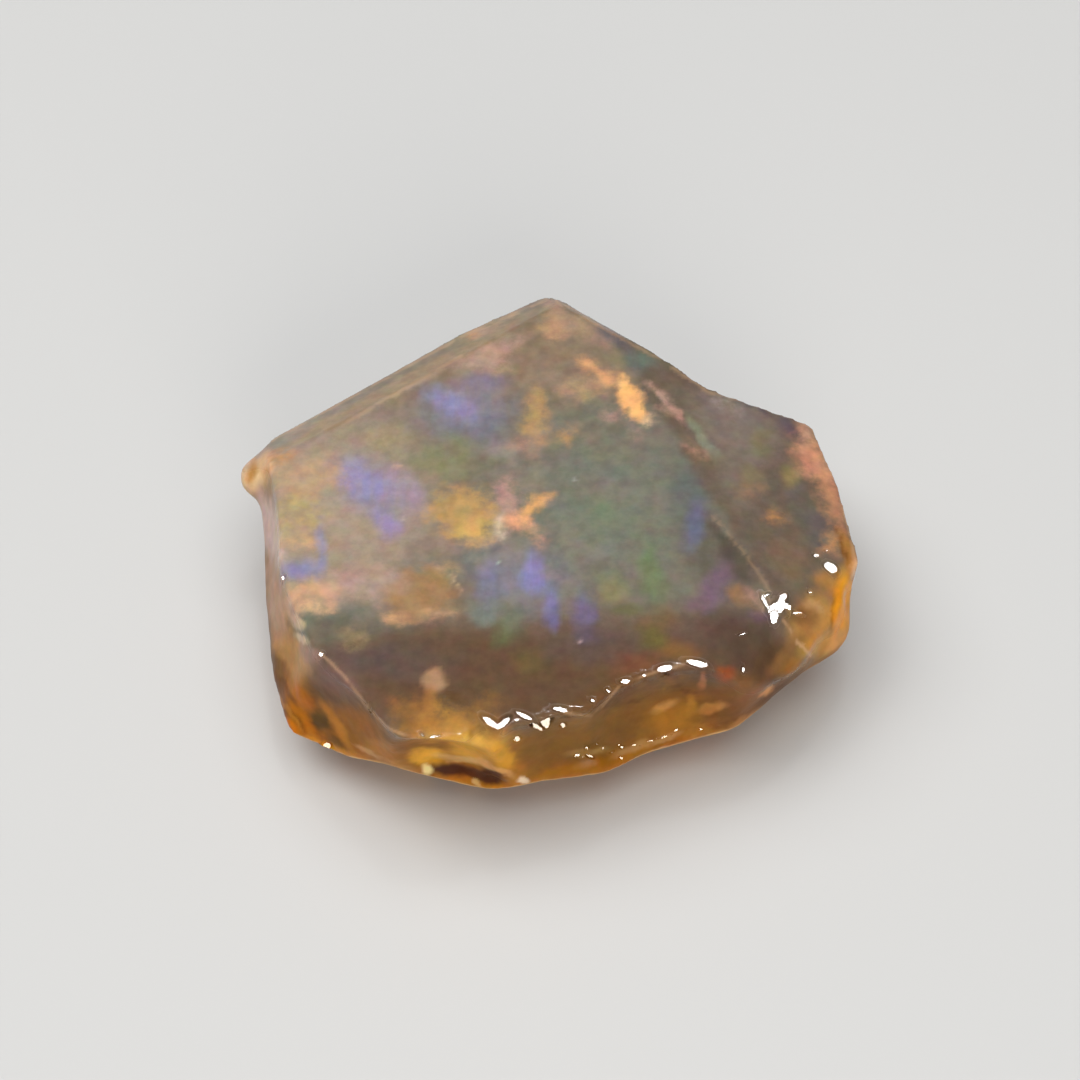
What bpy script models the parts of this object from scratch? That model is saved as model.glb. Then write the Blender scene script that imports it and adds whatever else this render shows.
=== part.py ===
"""A rough fire opal: one broken chip of translucent opal, lying on its flat underside.

Metres, +Z up. Width runs along X, the thick chipped front faces -Y, and the thin back edge faces +Y.
Every length below is in millimetres. Each ring of corners goes round the stone anticlockwise, as seen from
above.
"""

import math
from collections import namedtuple

import bmesh
import bpy
from mathutils import Matrix, Vector

MM = 0.001

STONE_NAME = "rough_opal"
STONE_HEIGHT = 5.0
BLANK_HEIGHT = 5.6  # the blank stands above the stone's top, and the top face is cut from it
CENTRE = (0.3, -3.0)  # the rings of corners are read round this point

# Where the walls would reach the blank's top.
SHOULDER = [
    (8.65, 1.5),
    (5.4, 2.6),
    (1.0, 6.2),
    (0.1, 7.2),
    (-2.5, 5.7),
    (-8.6, 0.75),
    (-8.65, -0.9),
    (-7.4, -5.7),
    (-6.3, -8.3),
    (-4.2, -11.6),
    (-2.9, -11.8),
    (-0.9, -11.6),
    (0.5, -10.9),
    (1.7, -10.7),
    (2.4, -9.8),
    (3.6, -9.3),
    (4.8, -9.15),
    (6.2, -9.0),
    (8.1, -8.8),
    (8.5, -6.4),
    (8.8, -5.1),
    (9.75, -4.5),
    (9.15, -1.4),
]

# The widest line round the stone, which is low at the front and high at the back.
RIM = [
    (8.4, 1.1, 2.6),
    (5.1, 2.0, 2.4),
    (0.8, 5.3, 2.2),
    (0.1, 5.7, 2.2),
    (-2.4, 4.9, 2.2),
    (-8.4, 0.3, 2.6),
    (-8.8, -1.0, 3.2),
    (-8.4, -4.5, 2.2),
    (-8.1, -7.0, 1.9),
    (-7.5, -9.0, 1.7),
    (-6.2, -9.6, 1.6),
    (-4.5, -10.15, 1.6),
    (-2.5, -10.7, 1.6),
    (-1.3, -11.0, 1.6),
    (0.9, -10.5, 1.6),
    (2.1, -10.3, 1.6),
    (3.3, -9.6, 1.7),
    (4.4, -9.2, 1.7),
    (6.0, -8.8, 1.8),
    (7.1, -7.6, 1.9),
    (8.3, -6.7, 2.2),
    (9.0, -6.3, 2.2),
    (9.4, -5.7, 2.2),
    (9.45, -5.0, 2.4),
    (9.42, -3.9, 3.0),
    (9.15, -1.0, 3.0),
]

# The flat that the stone rests on.
BASE = [
    (7.4, 0.1),
    (4.6, 1.0),
    (0.2, 4.1),
    (-6.9, -0.3),
    (-7.1, -4.6),
    (-6.3, -7.7),
    (-2.0, -9.5),
    (2.0, -8.9),
    (5.6, -7.5),
    (8.1, -5.0),
    (8.0, -1.9),
]

# The flat breaks: a point on each, and the way it faces.
BREAKS = {
    "top": ((0.0, -3.0, STONE_HEIGHT), (0.0, 0.0, 1.0)),
    "right_facet": ((5.2, -2.7, STONE_HEIGHT), (7.25, 3.07, 40.96)),
    "back_left_bevel": ((-3.0, 3.1, 4.9), (-4.16, 5.47, 12.5)),
    "back_right_bevel": ((3.8, 3.4, 4.9), (3.0, 4.0, 8.0)),
    "apex_chip": ((0.28, 5.5, STONE_HEIGHT), (-0.14, 0.35, 0.955)),
    "front_right_shoulder": ((5.7, -7.7, STONE_HEIGHT), (0.31, -0.29, 0.91)),
    "front_right_slope": ((6.1, -8.1, 4.72), (0.56, -0.52, 0.64)),
}

# A flake scar is the hollow that a ball or an egg would leave. It is given by its deepest point, by the
# bearing and the rise in degrees of the way it faces, and by the egg's radii along that way, across it and
# up the wall. The roll turns the egg about the way it faces.
Scar = namedtuple("Scar", "deepest bearing rise radii roll", defaults=(0,))

SCARS = {
    "front_left_corner": Scar((-5.65, -9.35, 3.3), 232, 5, (4.6, 4.6, 4.6)),
    "front_left_nose": Scar((-3.0, -10.5, 3.2), 268, -14, (3.5, 3.5, 3.5)),
    "front_notch": Scar((-1.58, -10.98, 4.7), 278, 10, (0.7, 0.55, 1.0)),
    "front_lobe": Scar((-0.55, -10.75, 3.9), 276, -8, (1.5, 1.0, 2.6)),
    "front_middle": Scar((0.95, -10.3, 3.3), 272, -2, (4.5, 3.5, 5.0)),
    "front_step": Scar((2.1, -9.8, 3.4), 306, 4, (2.5, 2.0, 3.0)),
    "front_right": Scar((3.6, -8.95, 3.3), 284, 4, (4.5, 4.5, 4.5)),
    "front_right_end": Scar((6.9, -8.2, 3.0), 305, -15, (8.0, 8.0, 8.0)),
    "right_corner": Scar((8.25, -6.0, 4.12), 322, 48, (6.0, 6.0, 6.0)),
    "under_tip": Scar((9.15, -5.2, 3.7), 345, 0, (0.9, 0.7, 1.2)),
    "left_front": Scar((-7.35, -7.1, 3.5), 200, 17, (6.0, 6.0, 6.0)),
    "left_side": Scar((-8.15, -3.2, 3.7), 187, 14, (15.0, 15.0, 15.0)),
    "back_left_wall": Scar((-4.6, 2.6, 2.4), 127, -20, (10.0, 10.0, 10.0)),
    "back_left_flake": Scar((-1.1, 4.4, 2.0), 118, -25, (4.0, 4.0, 4.0)),
    "back_right_wall": Scar((2.8, 3.6, 2.6), 52, -22, (9.0, 9.0, 9.0)),
    "back_right_flake": Scar((6.8, 1.2, 2.3), 76, -25, (5.0, 5.0, 5.0)),
    "right_side_wall": Scar((8.7, -1.2, 2.3), 5, -15, (8.0, 8.0, 8.0)),
    "under_front": Scar((0.3, -9.7, 0.8), 270, -45, (6.0, 6.0, 6.0)),
    "under_front_left": Scar((-4.2, -9.1, 0.8), 255, -40, (4.0, 4.0, 4.0)),
    "under_left": Scar((-7.4, -5.6, 0.9), 188, -40, (5.0, 5.0, 5.0)),
    "under_right": Scar((6.3, -7.4, 0.9), 310, -35, (4.5, 4.5, 4.5)),
}

# Three long ripples fan across the front left corner.
CORNER_RIPPLES = {
    "corner_ripple_high": Scar((-6.1, -9.0, 3.2), 232, 5, (1.2, 3.0, 1.0), -30),
    "corner_ripple_middle": Scar((-6.62, -8.84, 2.3), 232, 5, (1.2, 2.6, 0.9), -30),
    "corner_ripple_low": Scar((-6.3, -9.22, 1.7), 230, 0, (0.8, 1.4, 0.5), -20),
}

# A row of crumbled pits under the front left nose.
PITS = {
    "pit_left": Scar((-2.85, -10.1, 2.1), 262, 0, (0.5, 0.62, 0.34), 10),
    "pit_middle": Scar((-2.2, -10.2, 2.05), 262, 0, (0.5, 0.5, 0.4), 40),
    "pit_right": Scar((-1.5, -10.5, 1.95), 265, 0, (0.45, 0.62, 0.3), -10),
}

# Small chips along the foot of the front wall. The row bends towards a point on its way, and the sizes and
# heights of its chips rise and fall along it, by so much and in steps of so many radians.
CHIP_COUNT = 10
CHIP_ROW_START = (0.9, -10.15, 2.25)
CHIP_ROW_BEND = (3.2, -9.05, 2.0)
CHIP_ROW_END = (5.1, -8.85, 2.0)
CHIP_BEARING = 288
CHIP_SIZE = 0.42
CHIP_SIZE_SWING = 0.12
CHIP_SIZE_STEP = 2.4
CHIP_HEIGHT_SWING = 0.12
CHIP_HEIGHT_STEP = 1.7
CHIP_WIDTH = 1.2  # times its depth
CHIP_HEIGHT = 0.8
CHIP_ROLL = 40

# Little bites out of the top edge at the left front.
NICKS = [(-7.1, -6.9), (-6.98, -7.4), (-6.75, -7.85)]
NICK_DEPTH = 0.15
NICK_BEARING = 200
NICK_RISE = 40
NICK_RADII = (0.3, 0.22, 0.3)

# The nub at the left corner is a drop drawn round three eggs: the middle of each, and its radii.
NUB_EGGS = (
    ((-8.45, 0.0, 3.9), (0.35, 0.35, 0.4)),
    ((-8.86, -0.72, 3.82), (0.46, 0.62, 0.52)),
    ((-8.4, -0.55, 3.35), (0.38, 0.45, 0.5)),
)
NUB_HOLLOW = Scar((-9.04, -0.78, 4.1), 235, 45, (0.25, 0.16, 0.38))
NUB_FINENESS = 3

# An egg is made of finer faces where its largest radius is big, and of coarser ones where it is small.
BIG_EGG = 3.5
SMALL_EGG = 0.9
BIG_EGG_FINENESS = 5
EGG_FINENESS = 4
SMALL_EGG_FINENESS = 2

MERGE_DISTANCE = 1e-7
PARALLEL = 1e-9
ROUNDING = 1e-6
BEARING_DIGITS = 4

OPAL_COLOUR = (0.42, 0.24, 0.13, 1.0)
OPAL_ROUGHNESS = 0.12


def clear_scene():
    for obj in list(bpy.data.objects):
        bpy.data.objects.remove(obj)


def new_collection(name):
    collection = bpy.data.collections.new(name)
    bpy.context.scene.collection.children.link(collection)
    return collection


def bearing(corner):
    return math.atan2(corner[1] - CENTRE[1], corner[0] - CENTRE[0]) % math.tau


def point_at(ring, angle):
    """The point where a line from CENTRE at this bearing crosses the ring of corners."""
    ray = Vector((math.cos(angle), math.sin(angle)))
    for first, second in zip(ring, ring[1:] + ring[:1]):
        start = Vector(first) - Vector((*CENTRE, 0))
        side = Vector(second) - Vector(first)
        turn = ray.x * side.y - ray.y * side.x
        if abs(turn) < PARALLEL:
            continue
        reach = (start.x * side.y - start.y * side.x) / turn
        share = (start.x * ray.y - start.y * ray.x) / turn
        if reach > 0 and -ROUNDING <= share <= 1 + ROUNDING:
            return Vector(first) + side * share
    raise ValueError(f"no side of the ring lies at bearing {math.degrees(angle):.1f}")


def loft_blank(bm):
    """The stone before anything is struck off it, lofted from the base through the rim to the shoulder."""
    rings = (
        [(x, y, 0.0) for x, y in BASE],
        RIM,
        [(x, y, BLANK_HEIGHT) for x, y in SHOULDER],
    )
    angles = sorted({round(bearing(corner), BEARING_DIGITS) for ring in rings for corner in ring})
    levels = [[bm.verts.new(point_at(ring, angle) * MM) for angle in angles] for ring in rings]
    count = len(angles)
    for lower, upper in zip(levels, levels[1:]):
        for i in range(count):
            j = (i + 1) % count
            bm.faces.new((lower[i], lower[j], upper[j], upper[i]))
    bm.faces.new(levels[0][::-1])
    bm.faces.new(levels[-1])


def slice_off(bm, point, facing):
    """Take away what lies beyond the plane through the point, and close the cut with one flat face."""
    everything = bm.verts[:] + bm.edges[:] + bm.faces[:]
    bmesh.ops.bisect_plane(
        bm,
        geom=everything,
        plane_co=Vector(point) * MM,
        plane_no=Vector(facing),
        clear_outer=True,
        dist=MERGE_DISTANCE,
    )
    open_edges = [edge for edge in bm.edges if edge.is_boundary]
    bmesh.ops.holes_fill(bm, edges=open_edges, sides=0)


def make_stone(collection, origin):
    bm = bmesh.new()
    loft_blank(bm)
    for point, facing in BREAKS.values():
        slice_off(bm, point, facing)
    bmesh.ops.recalc_face_normals(bm, faces=bm.faces)
    mesh = bpy.data.meshes.new(STONE_NAME)
    bm.to_mesh(mesh)
    bm.free()
    stone = bpy.data.objects.new(STONE_NAME, mesh)
    stone.parent = origin
    collection.objects.link(stone)
    return stone


def add_egg(bm, placement, radii, fineness):
    """Add a ball that is stretched to these radii."""
    egg = bmesh.ops.create_icosphere(bm, subdivisions=fineness, radius=1.0)["verts"]
    shape = Matrix.Diagonal((*radii, 1.0))
    bmesh.ops.transform(bm, verts=egg, matrix=Matrix.Scale(MM, 4) @ placement @ shape)


def make_tool(name, collection, origin, bm):
    """A shape that is cut from the stone, or joined to it."""
    mesh = bpy.data.meshes.new(name)
    bm.to_mesh(mesh)
    bm.free()
    tool = bpy.data.objects.new(name, mesh)
    tool.parent = origin
    tool.hide_render = True
    tool.display_type = "WIRE"
    collection.objects.link(tool)
    return tool


def make_scar(name, collection, origin, scar):
    """An egg whose inmost point is the scar's deepest point."""
    turn = Matrix.Rotation(math.radians(scar.bearing), 4, "Z")
    turn = turn @ Matrix.Rotation(math.radians(-scar.rise), 4, "Y")
    turn = turn @ Matrix.Rotation(math.radians(scar.roll), 4, "X")
    facing = turn @ Vector((1.0, 0.0, 0.0))
    centre = Vector(scar.deepest) + facing * scar.radii[0]
    fineness = EGG_FINENESS
    if max(scar.radii) >= BIG_EGG:
        fineness = BIG_EGG_FINENESS
    if max(scar.radii) < SMALL_EGG:
        fineness = SMALL_EGG_FINENESS
    bm = bmesh.new()
    add_egg(bm, Matrix.Translation(centre) @ turn, scar.radii, fineness)
    return make_tool(name, collection, origin, bm)


def make_nub(collection, origin):
    """The tightest skin round the nub's eggs."""
    bm = bmesh.new()
    for centre, radii in NUB_EGGS:
        add_egg(bm, Matrix.Translation(centre), radii, NUB_FINENESS)
    bmesh.ops.delete(bm, geom=bm.edges[:], context="EDGES_FACES")
    bmesh.ops.convex_hull(bm, input=bm.verts[:])
    inside = [corner for corner in bm.verts if not corner.link_faces]
    bmesh.ops.delete(bm, geom=inside, context="VERTS")
    return make_tool("nub", collection, origin, bm)


def chip_row():
    """The small chips of one row, whose sizes rise and fall along it."""
    start, bend, end = (Vector(point) for point in (CHIP_ROW_START, CHIP_ROW_BEND, CHIP_ROW_END))
    chips = {}
    for i in range(CHIP_COUNT):
        share = i / (CHIP_COUNT - 1)
        deepest = start.lerp(bend, share).lerp(bend.lerp(end, share), share)
        deepest.z += CHIP_HEIGHT_SWING * math.sin(i * CHIP_HEIGHT_STEP)
        swing = math.sin(i * CHIP_SIZE_STEP)
        size = CHIP_SIZE + CHIP_SIZE_SWING * swing
        radii = (size, size * CHIP_WIDTH, size * CHIP_HEIGHT)
        chips[f"chip_{i}"] = Scar(tuple(deepest), CHIP_BEARING, 0, radii, CHIP_ROLL * swing)
    return chips


def edge_nicks():
    """The little bites out of the top edge."""
    return {
        f"nick_{i}": Scar((x, y, STONE_HEIGHT - NICK_DEPTH), NICK_BEARING, NICK_RISE, NICK_RADII)
        for i, (x, y) in enumerate(NICKS)
    }


def add_boolean(stone, name, operation, operand):
    modifier = stone.modifiers.new(name, "BOOLEAN")
    modifier.operation = operation
    modifier.solver = "EXACT"
    if isinstance(operand, bpy.types.Collection):
        modifier.operand_type = "COLLECTION"
        modifier.collection = operand
    else:
        modifier.object = operand


def opal_material():
    material = bpy.data.materials.new("fire_opal")
    material.use_nodes = True
    shader = material.node_tree.nodes["Principled BSDF"]
    shader.inputs["Base Color"].default_value = OPAL_COLOUR
    shader.inputs["Roughness"].default_value = OPAL_ROUGHNESS
    shader.inputs["Metallic"].default_value = 0.0
    return material


def centre_on_origin(stone, origin):
    """Move the stone so that the middle of its outline is over the origin."""
    bpy.context.view_layer.update()
    finished = stone.evaluated_get(bpy.context.evaluated_depsgraph_get())
    corners = [Vector(corner) for corner in finished.bound_box]
    middle = sum(corners, Vector()) / len(corners)
    origin.location = (-middle.x, -middle.y, 0.0)
    bpy.context.view_layer.update()


def main():
    clear_scene()
    stones = new_collection("fire_opal_chip")
    cutters = new_collection("cutters")
    scars = new_collection("flake_scars")
    origin = bpy.data.objects.new("stone_origin", None)
    stones.objects.link(origin)
    stone = make_stone(stones, origin)
    stone.data.materials.append(opal_material())
    for name, scar in {**SCARS, **CORNER_RIPPLES, **PITS, **chip_row(), **edge_nicks()}.items():
        make_scar(name, scars, origin, scar)
    add_boolean(stone, "flake_scars", "DIFFERENCE", scars)
    add_boolean(stone, "nub", "UNION", make_nub(cutters, origin))
    hollow = make_scar("nub_hollow", cutters, origin, NUB_HOLLOW)
    add_boolean(stone, "nub_hollow", "DIFFERENCE", hollow)
    centre_on_origin(stone, origin)


main()
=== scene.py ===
"""Looks of a rough fire opal: one chip of translucent opal, resting on a plain pale floor.

Places on the stone are in millimetres in the part's frame: +X to the right, -Y towards the thick chipped
front, +Z up out of the broad top face. Its surface colours are screen red, green and blue from 0 to 255.
"""

import math
from collections import namedtuple

import bmesh
import bpy
import numpy as np
from mathutils import Matrix, Vector, noise


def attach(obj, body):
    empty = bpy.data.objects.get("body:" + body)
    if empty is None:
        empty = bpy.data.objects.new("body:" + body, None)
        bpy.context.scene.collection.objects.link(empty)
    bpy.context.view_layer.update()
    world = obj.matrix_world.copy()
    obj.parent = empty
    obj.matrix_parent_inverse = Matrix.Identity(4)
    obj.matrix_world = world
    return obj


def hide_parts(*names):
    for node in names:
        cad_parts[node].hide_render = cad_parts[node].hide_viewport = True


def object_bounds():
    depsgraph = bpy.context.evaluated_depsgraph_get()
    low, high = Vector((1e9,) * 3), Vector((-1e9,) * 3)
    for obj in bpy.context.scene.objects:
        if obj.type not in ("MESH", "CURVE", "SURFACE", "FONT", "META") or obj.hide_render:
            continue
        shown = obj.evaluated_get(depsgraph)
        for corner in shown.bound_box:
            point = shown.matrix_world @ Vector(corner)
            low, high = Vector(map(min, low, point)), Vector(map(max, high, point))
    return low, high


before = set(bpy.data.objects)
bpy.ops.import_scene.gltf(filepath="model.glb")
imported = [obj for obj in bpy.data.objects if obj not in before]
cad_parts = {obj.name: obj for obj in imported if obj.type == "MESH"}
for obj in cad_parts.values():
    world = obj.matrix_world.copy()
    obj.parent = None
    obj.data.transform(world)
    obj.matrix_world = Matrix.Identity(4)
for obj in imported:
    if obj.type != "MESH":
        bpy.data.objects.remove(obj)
cad_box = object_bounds()

MM = 0.001

# The camera looks along +Y and down. The point that it is aimed at lies on the floor.
CAMERA_AIM = (-0.15, 2.49, 0.0)
CAMERA_DISTANCE = 96.3
CAMERA_RISE = 50.0
LENS = 100.0
SENSOR = 36.0

# The photo's width and height in pixels, and about how many millimetres one is on the stone.
PHOTO = 1080
PIXEL = 0.03

# The small lamp that the flake scars throw back to the camera, and the front one for those on the walls.
SPARK = (17.0, 96.0, 315.0)
FRONT_SPARK = (125.0, -280.0, 165.0)

# The size of the fine mesh's faces, and the height of the stone's top.
VOXEL = 0.12
TOP = 5.0

# The flat breaks that face upwards: a point on each, and the way it faces.
UPPER_BREAKS = {
    "top": ((0.0, 0.0, TOP), (0.0, 0.0, 1.0)),
    "right_facet": ((5.05, -0.21, TOP), (7.25, 3.07, 40.96)),
    "back_left_bevel": ((-3.15, 5.59, 4.9), (-4.16, 5.47, 12.5)),
    "back_right_bevel": ((3.65, 5.89, 4.9), (3.0, 4.0, 8.0)),
    "apex_chip": ((0.13, 7.99, TOP), (-0.14, 0.35, 0.955)),
    "front_right_shoulder": ((5.55, -5.21, TOP), (0.31, -0.29, 0.91)),
    "front_right_slope": ((5.95, -5.61, 4.72), (0.56, -0.52, 0.64)),
    "right_corner": ((8.1, -3.51, 4.12), (0.53, -0.41, 0.74)),
}

# Where the nub joins the stone, the reach of the hollow there, and how often it is filled a little.
NUB_ROOT = (-8.6, 1.7, 4.0)
NUB_REACH = (0.9, 1.1, 1.0)
FILL_ROUNDS = 40

# Where small bites are taken out of the left front edge, and how far they reach.
NICKS = (-7.2, -4.8, 4.8)
NICKS_REACH = (0.5, 1.0, 0.8)

# How often the shape is blurred for the crisp upper edges and for the worn walls, how far the walls are
# swelled again to make up for it, and the share and the depths at which the walls' rounding sets in.
CRISP_ROUNDS = 3
WORN_ROUNDS = 32
SWELLING = 0.8
ROUNDING = 0.95
ROUNDING_DEPTHS = (0.15, 0.9)

# How deep the edges are chipped and nicked, and the relief of the walls and of the flat breaks.
CHIP_DEPTH = 0.03
NICK_DEPTH = 0.14
WALL_RELIEF = 0.014
BREAK_RELIEF = 0.010

# What lies lower than this is laid flat on the ground, and wear sets in between these heights.
BASE_HEIGHT = 0.04
OFF_BASE = (0.1, 0.5)

# The front walls are in front of this, this deep under the top, and this high above the ground.
FRONT = -3.5
FRONT_DEPTH = 0.2
FRONT_HEIGHT = 0.9

# A flat scar where a flake broke off: its middle, its reach along its length and across it, the turn of its
# length from +X in degrees, and the lamp that it shows.
Flake = namedtuple("Flake", "x y z long wide turn lamp", defaults=(0, SPARK))

# A flake flattens what is this near to its plane, and fades out at so many times its size. The mesh is made
# finer up to this far past its ends. What is out of reach counts as this many sizes off.
FLAKE_DEPTH = 0.35
FLAKE_FADE = 1.35
FLAKE_MARGIN = 0.14
FAR_OFF = 9.0

FLAKES = {
    "vee_left": Flake(-1.57, -8.38, 4.88, 0.29, 0.12, -36),
    "vee_right": Flake(-1.18, -8.4, 4.86, 0.26, 0.12, 46),
    "second": Flake(-0.6, -8.22, 4.95, 0.27, 0.1, -27),
    "third": Flake(0.0, -8.03, 4.5, 0.19, 0.11, -82, FRONT_SPARK),
    "third_left": Flake(-0.26, -8.25, 4.5, 0.2, 0.065, -40, FRONT_SPARK),
    "fourth": Flake(0.42, -7.98, 4.95, 0.23, 0.1, -10),
    "under_second": Flake(-0.81, -8.31, 3.97, 0.1, 0.1, 0, FRONT_SPARK),
    "under_fourth": Flake(0.51, -7.94, 4.14, 0.09, 0.09, 0, FRONT_SPARK),
    "climb_low": Flake(1.35, -7.67, 4.95, 0.08, 0.09, 30),
    "climb": Flake(1.8, -7.31, 4.95, 0.07, 0.09, 40),
    "climb_high": Flake(2.3, -6.97, 4.95, 0.16, 0.09, 15),
    "crest_dot": Flake(2.85, -6.75, 4.95, 0.07, 0.07),
    "crest": Flake(3.45, -6.5, 4.95, 0.24, 0.12, 14),
    "crest_right": Flake(4.38, -6.31, 4.94, 0.33, 0.12, -14),
    "star": Flake(6.79, -4.22, 4.84, 0.28, 0.2, 40),
    "star_low": Flake(6.72, -4.5, 4.79, 0.21, 0.13, 85),
    "star_right": Flake(7.13, -4.14, 4.865, 0.33, 0.1, -38),
    "star_tail": Flake(7.46, -4.03, 4.42, 0.17, 0.06, 5),
    "star_hook": Flake(6.47, -3.97, 4.88, 0.26, 0.09, -70),
    "star_hook_end": Flake(6.55, -3.75, 4.92, 0.11, 0.07, 30),
    "star_up": Flake(7.0, -3.88, 4.91, 0.22, 0.11, 60),
    "blob": Flake(8.55, -2.36, 4.5, 0.22, 0.16, -38),
    "blob_left": Flake(8.12, -1.94, 4.55, 0.1, 0.07, -15),
    "blob_back": Flake(8.45, -1.68, 4.48, 0.07, 0.05),
    "blob_front": Flake(7.88, -3.26, 4.43, 0.08, 0.06, -15),
    "shoulder": Flake(5.75, -5.22, 4.91, 0.12, 0.04, 20),
    "slope": Flake(5.76, -6.15, 4.43, 0.1, 0.06, 90),
    "left_dot": Flake(-7.78, -3.02, 4.81, 0.08, 0.08),
    "corner_dot": Flake(-6.5, -5.98, 4.94, 0.09, 0.09),
    "ridge_dot": Flake(-5.03, -7.72, 4.6, 0.07, 0.07),
    "ridge_left": Flake(-3.5, -8.86, 4.94, 0.1, 0.05, -40),
    "ridge_nose": Flake(-3.13, -8.93, 4.94, 0.17, 0.05, 8),
    "foot_left": Flake(-6.49, -6.75, 1.48, 0.13, 0.12, 0, FRONT_SPARK),
}

# The crumbs along the foot of the front wall, which show the front lamp.
CRUMBS = [
    (0.94, -7.69, 2.32, 0.1, 0.06, 10),
    (1.22, -7.78, 2.79, 0.06, 0.06, 0),
    (1.32, -7.57, 2.11, 0.13, 0.05, -25),
    (2.27, -7.12, 1.93, 0.06, 0.06, 20),
    (2.63, -7.04, 1.93, 0.1, 0.05, 10),
    (3.11, -6.89, 1.93, 0.11, 0.045, 0),
    (3.53, -6.71, 1.88, 0.13, 0.045, 20),
    (3.88, -6.61, 2.09, 0.07, 0.05, 30),
    (4.63, -6.49, 1.98, 0.07, 0.05, -20),
    (1.7, -7.39, 2.26, 0.05, 0.05, 0),
    (1.97, -7.31, 1.95, 0.08, 0.035, 20),
    (2.18, -7.17, 2.11, 0.06, 0.045, 0),
    (2.25, -7.31, 1.65, 0.07, 0.05, -30),
    (2.81, -7.02, 1.85, 0.05, 0.035, 0),
    (3.32, -6.8, 1.9, 0.05, 0.035, 0),
    (3.73, -6.67, 1.92, 0.05, 0.035, 30),
    (1.11, -7.65, 2.17, 0.06, 0.035, 0),
    (1.52, -7.51, 2.63, 0.04, 0.035, 0),
]
FLAKES.update({f"crumb_{number}": Flake(*crumb, FRONT_SPARK) for number, crumb in enumerate(CRUMBS)})


def camera_place():
    rise = math.radians(CAMERA_RISE)
    back = Vector((0.0, -math.cos(rise), math.sin(rise)))
    return Vector(CAMERA_AIM) + back * CAMERA_DISTANCE, back


def in_photo(points):
    """Where the camera sees the points, in the photo's pixels, across and down."""
    place, back = camera_place()
    away = points - np.array(place)
    up = np.array(back.cross(Vector((1, 0, 0))))
    scale = PHOTO * LENS / SENSOR / -(away @ np.array(back))
    return PHOTO / 2 + np.stack([away[:, 0], -away @ up], axis=1) * scale[:, None]


def camera():
    place, back = camera_place()
    data = bpy.data.cameras.new("camera")
    data.lens = LENS
    data.sensor_width = SENSOR
    data.clip_start = 0.005
    data.clip_end = 10.0
    eye = bpy.data.objects.new("camera", data)
    eye.location = place * MM
    eye.rotation_euler = back.to_track_quat("Z", "Y").to_euler()
    bpy.context.scene.collection.objects.link(eye)
    bpy.context.scene.camera = eye


# Shape

def fine_copy(node):
    """The CAD solid as an even, fine mesh, in millimetres."""
    bm = bmesh.new()
    bm.from_mesh(node.data)
    bmesh.ops.remove_doubles(bm, verts=bm.verts, dist=1e-7)
    bmesh.ops.scale(bm, vec=(1 / MM,) * 3, verts=bm.verts)
    mesh = bpy.data.meshes.new("coarse")
    bm.to_mesh(mesh)
    bm.free()
    coarse = bpy.data.objects.new("coarse", mesh)
    bpy.context.scene.collection.objects.link(coarse)
    remesh = coarse.modifiers.new("even", "REMESH")
    remesh.mode = "VOXEL"
    remesh.voxel_size = VOXEL
    seen = coarse.evaluated_get(bpy.context.evaluated_depsgraph_get())
    fine = bpy.data.meshes.new_from_object(seen)
    bpy.data.objects.remove(coarse)
    return fine


def refine(mesh, chosen):
    """Halves the edges between the chosen points."""
    bm = bmesh.new()
    bm.from_mesh(mesh)
    edges = [edge for edge in bm.edges if all(chosen[vert.index] for vert in edge.verts)]
    bmesh.ops.subdivide_edges(bm, edges=edges, cuts=1, use_grid_fill=True)
    bm.to_mesh(mesh)
    bm.free()


def read(items, name, width, kind=float):
    """One property of all of a mesh's points or edges, as an array."""
    values = np.empty(len(items) * width, kind)
    items.foreach_get(name, values)
    return values.reshape(-1, width)


class Surface:
    """A mesh's points, held as arrays while the shape is worked on."""

    def __init__(self, mesh):
        self.mesh = mesh
        self.points = read(mesh.vertices, "co", 3)
        self.edges = read(mesh.edges, "vertices", 2, int)
        self.degree = np.bincount(self.edges.ravel(), minlength=len(self.points))

    def write(self):
        self.mesh.vertices.foreach_set("co", self.points.ravel())
        self.mesh.update()

    def normals(self):
        self.write()
        return read(self.mesh.vertex_normals, "vector", 3)

    def around(self, values):
        """The mean of each point's neighbours."""
        total = np.zeros_like(values)
        np.add.at(total, self.edges[:, 0], values[self.edges[:, 1]])
        np.add.at(total, self.edges[:, 1], values[self.edges[:, 0]])
        return total / self.degree.reshape((-1,) + (1,) * (values.ndim - 1))

    def blurred(self, values, times):
        for _ in range(times):
            values = 0.5 * values + 0.5 * self.around(values)
        return values

    def bulge(self, times):
        """How far each point stands out from the blurred shape round it."""
        return ((self.points - self.blurred(self.points, times)) * self.normals()).sum(1)


def lumps(points, size, octaves=1, seed=0.0):
    """Smooth noise of about -1 to 1, in lumps of this size in millimetres."""
    shift = Vector((seed * 17.3, seed * -9.1, seed * 5.7))
    places = [Vector(point) / size + shift for point in points]
    if octaves == 1:
        return np.array([noise.noise(place) for place in places])
    return np.array([noise.fractal(place, 0.8, 2.1, octaves) for place in places])


def smoothstep(low, high, values):
    share = np.clip((values - low) / (high - low), 0.0, 1.0)
    return share * share * (3 - 2 * share)


def break_depths(points):
    """How far each point lies under each of the upper breaks."""
    facings = np.array([facing for _, facing in UPPER_BREAKS.values()])
    facings = facings / np.linalg.norm(facings, axis=1)[:, None]
    places = [np.array(place) for place, _ in UPPER_BREAKS.values()]
    return np.array([(place - points) @ facing for place, facing in zip(places, facings)])


def depth_below(points):
    """How far each point lies under the nearest of the upper breaks."""
    return np.maximum(break_depths(points).min(axis=0), 0.0)


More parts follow.
